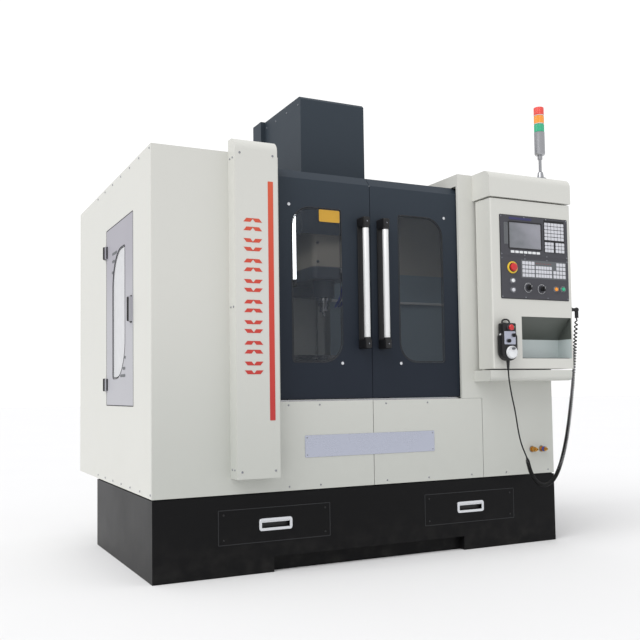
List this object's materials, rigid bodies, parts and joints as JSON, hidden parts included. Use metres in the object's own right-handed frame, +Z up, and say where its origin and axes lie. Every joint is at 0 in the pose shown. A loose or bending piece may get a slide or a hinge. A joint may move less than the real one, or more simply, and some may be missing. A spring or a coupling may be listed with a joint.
{
  "type": "cnc machining center",
  "caption": "Enclosed vertical machining centre: grey booth on a black base, sliding windowed doors, swivelling control box with hand pendant, mill and tool magazine inside, cabinet behind.",
  "frame": {"origin": "on the floor at the centre of the four anchor holes of the base", "axes": "+X right along the front, +Y to the back, +Z up"},
  "size_m": [2.313, 1.8706, 2.37],
  "materials": {
    "base_black": "satin powder coat",
    "body_grey": "fine textured powder coat",
    "side_grey": "fine textured powder coat",
    "slate": "fine textured powder coat",
    "lining_grey": "wiped paint",
    "casting_paint": "machine enamel over cast iron",
    "ground_iron": "ground",
    "ground_steel": "ground",
    "galvanised": "brushed",
    "window_glass": "laminated safety glass",
    "handle_black": "satin",
    "panel_dark": "fine textured",
    "red_plastic": "gloss",
    "white_plastic": "gloss",
    "grey_plastic": "gloss",
    "orange_plastic": "gloss",
    "green_plastic": "gloss",
    "black_plastic": "satin",
    "pendant_grey": "fine textured",
    "cord_jacket": "matt",
    "light_housing": "satin",
    "lens": "translucent",
    "brass": "machined",
    "motor_black": "satin"
  },
  "bodies": {
    "frame": {"base_casing": "base_black", "bed_casting": "casting_paint", "levelling_pads": "ground_steel", "column_casting": "casting_paint", "column_hood": "slate", "left_front_panel": "body_grey", "left_side_panel": "body_grey", "centre_front_panel": "body_grey", "right_front_panel": "body_grey", "right_side_panel": "body_grey", "rear_panel": "body_grey", "chamber_lining": "lining_grey", "accent_cover": "body_grey", "door_rails": "ground_steel", "electrical_cabinet": "body_grey", "stack_light_post": "light_housing", "stack_light_lenses": "lens", "control_hood": "body_grey", "control_shelf": "body_grey", "axis_motors": "motor_black", "air_couplings": "brass", "magazine_rail": "ground_steel"},
    "left_door": {"left_door": "slate", "left_window": "window_glass", "left_handle": "handle_black"},
    "right_door": {"right_door": "slate", "right_window": "window_glass", "right_handle": "handle_black"},
    "side_door": {"side_door": "side_grey", "side_window": "window_glass"},
    "left_drawer": {"left_drawer": "base_black"},
    "right_drawer": {"right_drawer": "base_black"},
    "cabinet_door": {"cabinet_door": "body_grey"},
    "saddle": {"saddle": "casting_paint"},
    "table": {"table": "ground_iron"},
    "head": {"head_casting": "casting_paint", "spindle_motor": "motor_black"},
    "spindle": {"spindle": "ground_steel", "tool_holder": "ground_steel"},
    "magazine_carriage": {"magazine_carriage": "casting_paint"},
    "magazine_drum": {"magazine_drum": "ground_steel", "magazine_tools": "ground_steel"},
    "control": {"control_box": "body_grey", "display_unit": "panel_dark", "operator_panel": "panel_dark", "pendant_case": "pendant_grey", "cord_glands": "black_plastic", "cord_straight": "cord_jacket", "cord_curly": "cord_jacket"},
    "emergency_stop": {"emergency_stop": "red_plastic"},
    "white_button": {"white_button": "white_plastic"},
    "grey_button": {"grey_button": "grey_plastic"},
    "orange_button": {"orange_button": "orange_plastic"},
    "green_button": {"green_button": "green_plastic"},
    "feed_selector": {"feed_selector": "black_plastic"},
    "mode_selector": {"mode_selector": "black_plastic"},
    "pendant_wheel": {"pendant_wheel": "black_plastic"},
    "pendant_stop": {"pendant_stop": "red_plastic"},
    "pendant_axis_knob": {"pendant_axis_knob": "black_plastic"},
    "pendant_scale_knob": {"pendant_scale_knob": "black_plastic"}
  },
  "joints": [
    {"name": "left_door_slide", "type": "slide", "parent": "frame", "child": "left_door", "axis": [-1, 0, 0], "range_m": [0, 0.41]},
    {"name": "right_door_slide", "type": "slide", "parent": "frame", "child": "right_door", "axis": [1, 0, 0], "range_m": [0, 0.38]},
    {"name": "side_door_hinge", "type": "hinge", "parent": "frame", "child": "side_door", "pos_m": [-1.109, 0.333, 1.2], "axis": [0, 0, -1], "range_deg": [0, 110]},
    {"name": "left_drawer_slide", "type": "slide", "parent": "frame", "child": "left_drawer", "axis": [0, -1, 0], "range_m": [0, 0.4]},
    {"name": "right_drawer_slide", "type": "slide", "parent": "frame", "child": "right_drawer", "axis": [0, -1, 0], "range_m": [0, 0.4]},
    {"name": "cabinet_door_hinge", "type": "hinge", "parent": "frame", "child": "cabinet_door", "pos_m": [-0.472, 1.0553, 1.13], "axis": [0, 0, -1], "range_deg": [0, 110]},
    {"name": "saddle_slide", "type": "slide", "parent": "frame", "child": "saddle", "axis": [0, 1, 0], "range_m": [-0.15, 0.15]},
    {"name": "table_slide", "type": "slide", "parent": "saddle", "child": "table", "axis": [1, 0, 0], "range_m": [-0.3, 0.3]},
    {"name": "head_slide", "type": "slide", "parent": "frame", "child": "head", "axis": [0, 0, 1], "range_m": [-0.2, 0.2]},
    {"name": "spindle_spin", "type": "hinge", "parent": "head", "child": "spindle", "pos_m": [0, -0.02, 1.3], "axis": [0, 0, 1], "continuous": true},
    {"name": "magazine_slide", "type": "slide", "parent": "frame", "child": "magazine_carriage", "axis": [1, 0, 0], "range_m": [0, 0.4]},
    {"name": "drum_spin", "type": "hinge", "parent": "magazine_carriage", "child": "magazine_drum", "pos_m": [-0.6, -0.02, 1.3], "axis": [0, 0, 1], "continuous": true},
    {"name": "control_swivel", "type": "hinge", "parent": "frame", "child": "control", "pos_m": [0.628, -0.605, 0.912], "axis": [0, 0, -1], "range_deg": [0, 90]},
    {"name": "emergency_stop_push", "type": "slide", "parent": "control", "child": "emergency_stop", "axis": [0, 1, 0], "range_m": [0, 0.004]},
    {"name": "white_button_push", "type": "slide", "parent": "control", "child": "white_button", "axis": [0, 1, 0], "range_m": [0, 0.004], "stiffness_N_per_m": 500},
    {"name": "grey_button_push", "type": "slide", "parent": "control", "child": "grey_button", "axis": [0, 1, 0], "range_m": [0, 0.004], "stiffness_N_per_m": 500},
    {"name": "orange_button_push", "type": "slide", "parent": "control", "child": "orange_button", "axis": [0, 1, 0], "range_m": [0, 0.004], "stiffness_N_per_m": 500},
    {"name": "green_button_push", "type": "slide", "parent": "control", "child": "green_button", "axis": [0, 1, 0], "range_m": [0, 0.004], "stiffness_N_per_m": 500},
    {"name": "feed_selector_turn", "type": "hinge", "parent": "control", "child": "feed_selector", "pos_m": [0.839, -0.709, 1.33], "axis": [0, 1, 0], "range_deg": [-130, 130]},
    {"name": "mode_selector_turn", "type": "hinge", "parent": "control", "child": "mode_selector", "pos_m": [0.927, -0.709, 1.326], "axis": [0, 1, 0], "range_deg": [-90, 90]},
    {"name": "pendant_wheel_spin", "type": "hinge", "parent": "control", "child": "pendant_wheel", "pos_m": [0.675, -0.7583, 0.992], "axis": [0, 1, 0], "continuous": true},
    {"name": "pendant_stop_push", "type": "slide", "parent": "control", "child": "pendant_stop", "axis": [0, 1, 0], "range_m": [0, 0.004]},
    {"name": "pendant_axis_turn", "type": "hinge", "parent": "control", "child": "pendant_axis_knob", "pos_m": [0.696, -0.7583, 1.078], "axis": [0, 1, 0], "range_deg": [-75, 75]},
    {"name": "pendant_scale_turn", "type": "hinge", "parent": "control", "child": "pendant_scale_knob", "pos_m": [0.664, -0.7583, 1.05], "axis": [0, 1, 0], "range_deg": [-45, 45]}
  ]
}
